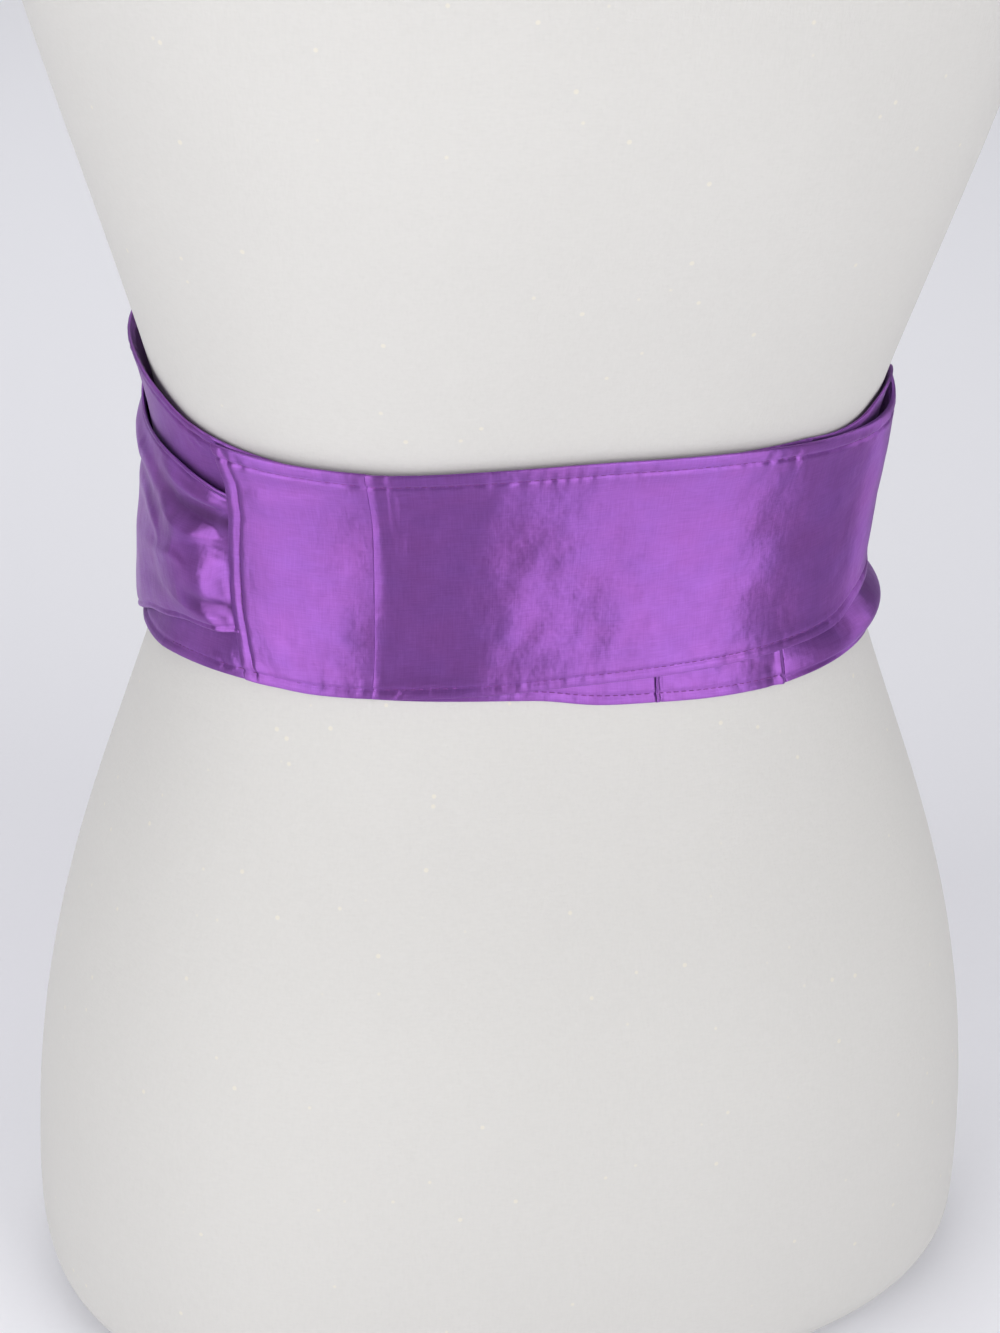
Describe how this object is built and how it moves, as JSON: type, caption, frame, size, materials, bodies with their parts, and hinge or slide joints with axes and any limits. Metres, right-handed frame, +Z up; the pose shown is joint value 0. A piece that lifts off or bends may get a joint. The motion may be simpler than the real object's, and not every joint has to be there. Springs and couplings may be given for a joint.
{
  "type": "satin sash on a dress form",
  "caption": "Purple satin sash wrapped round the waist of a plain limbless dress form, its ends crossed at the back and knotted at the front.",
  "frame": {"origin": "middle of the dress form's flat base, on the surface it stands on", "axes": "+Z up, +Y towards the wearer's back and the picture's camera, +X towards the wearer's left"},
  "size_m": [0.3518, 0.2345, 0.73],
  "materials": {
    "satin": "satin sheen",
    "cover": "matt woven cover"
  },
  "bodies": {
    "root": {"dress_form": "cover", "band_front": "satin", "band_inner": "satin", "inner_end_piece": "satin", "band_outer": "satin", "outer_end_piece": "satin", "outer_tie": "satin", "inner_tie": "satin", "knot": "satin", "left_tail": "satin", "right_tail": "satin"}
  },
  "joints": []
}
